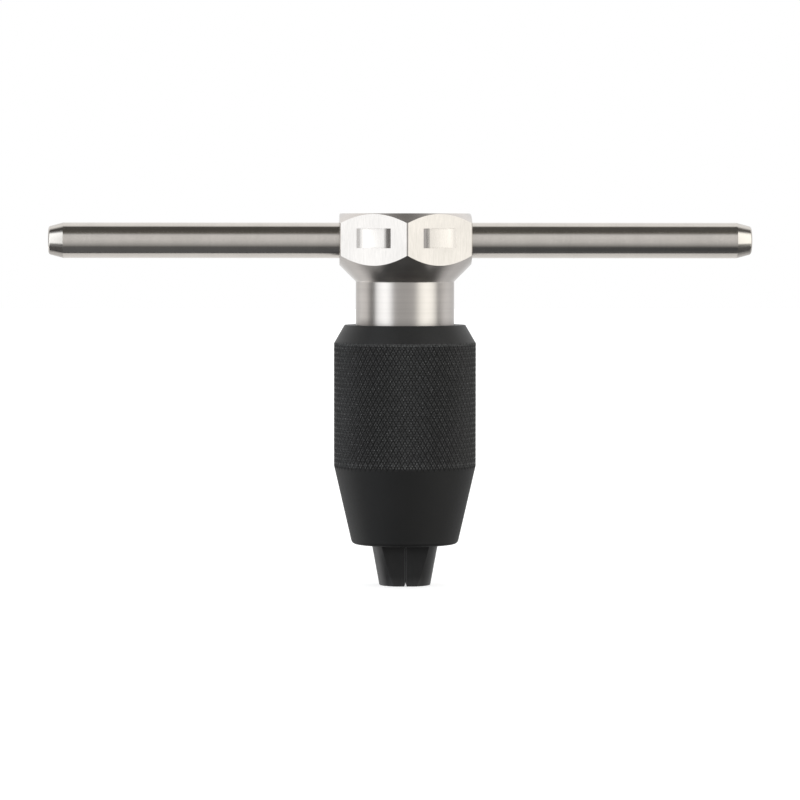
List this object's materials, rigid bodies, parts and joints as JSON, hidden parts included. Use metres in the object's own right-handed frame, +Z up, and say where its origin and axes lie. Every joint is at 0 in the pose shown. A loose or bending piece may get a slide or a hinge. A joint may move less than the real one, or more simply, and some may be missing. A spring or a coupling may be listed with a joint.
{
  "type": "tapping collet",
  "caption": "T-handle collet for hand taps: hexagon head with sliding bar, knurled screw sleeve and two-jaw chuck gripping a square shank.",
  "frame": {"origin": "on the tool axis, in the plane of the closed jaws' tips, at the mouth of the tap socket", "axes": "+Z up the tool axis from the jaws to the T-bar, +X along the T-bar"},
  "size_m": [0.1359, 0.0292, 0.072],
  "materials": {
    "turned_steel": "bright turned and milled steel, hexagon faces fine milled",
    "bar_steel": "centreless ground steel, ends polished",
    "black_oxide": "black oxide on diamond knurled steel",
    "black_jaw": "black oxide on hardened ground steel",
    "hardened_steel": "bright hardened steel",
    "spring_steel": "drawn spring wire",
    "black_rubber": "nitrile rubber, smooth"
  },
  "bodies": {
    "body": {"collet_body": "turned_steel", "spring_plug": "hardened_steel", "bar_spring": "spring_steel", "bar_ball": "hardened_steel", "jaw_spring_upper": "spring_steel", "jaw_spring_lower": "spring_steel"},
    "bar": {"t_bar": "bar_steel"},
    "left_jaw": {"jaw_left": "black_jaw", "jaw_pin_upper": "hardened_steel", "jaw_pin_lower": "hardened_steel"},
    "right_jaw": {"jaw_right": "black_jaw"},
    "drag_ring": {"sleeve_drag_ring": "black_rubber"},
    "sleeve": {"closing_sleeve": "black_oxide"}
  },
  "joints": [
    {"name": "bar_slide", "type": "slide", "parent": "body", "child": "bar", "axis": [1, 0, 0], "range_m": [-0.05287, 0.05453]},
    {"name": "sleeve_travel", "type": "slide", "parent": "body", "child": "drag_ring", "axis": [0, 0, -1], "range_m": [0, 0.00794]},
    {"name": "sleeve_turn", "type": "hinge", "parent": "drag_ring", "child": "sleeve", "pos_m": [0, 0, 0.03], "axis": [0, 0, -1], "range_deg": [0, 1800]},
    {"name": "jaw_left_slide", "type": "slide", "parent": "body", "child": "left_jaw", "axis": [-1, 0, 0], "range_m": [0, 0.00147], "deforming": ["jaw_spring_upper", "jaw_spring_lower"]},
    {"name": "jaw_right_slide", "type": "slide", "parent": "body", "child": "right_jaw", "axis": [1, 0, 0], "range_m": [0, 0.00147]}
  ],
  "couplings": [
    {"joint": "sleeve_turn", "follows": "sleeve_travel", "rad_per_m": 3957.9},
    {"joint": "jaw_left_slide", "follows": "sleeve_travel", "ratio": 0.18532},
    {"joint": "jaw_right_slide", "follows": "sleeve_travel", "ratio": 0.18532}
  ]
}
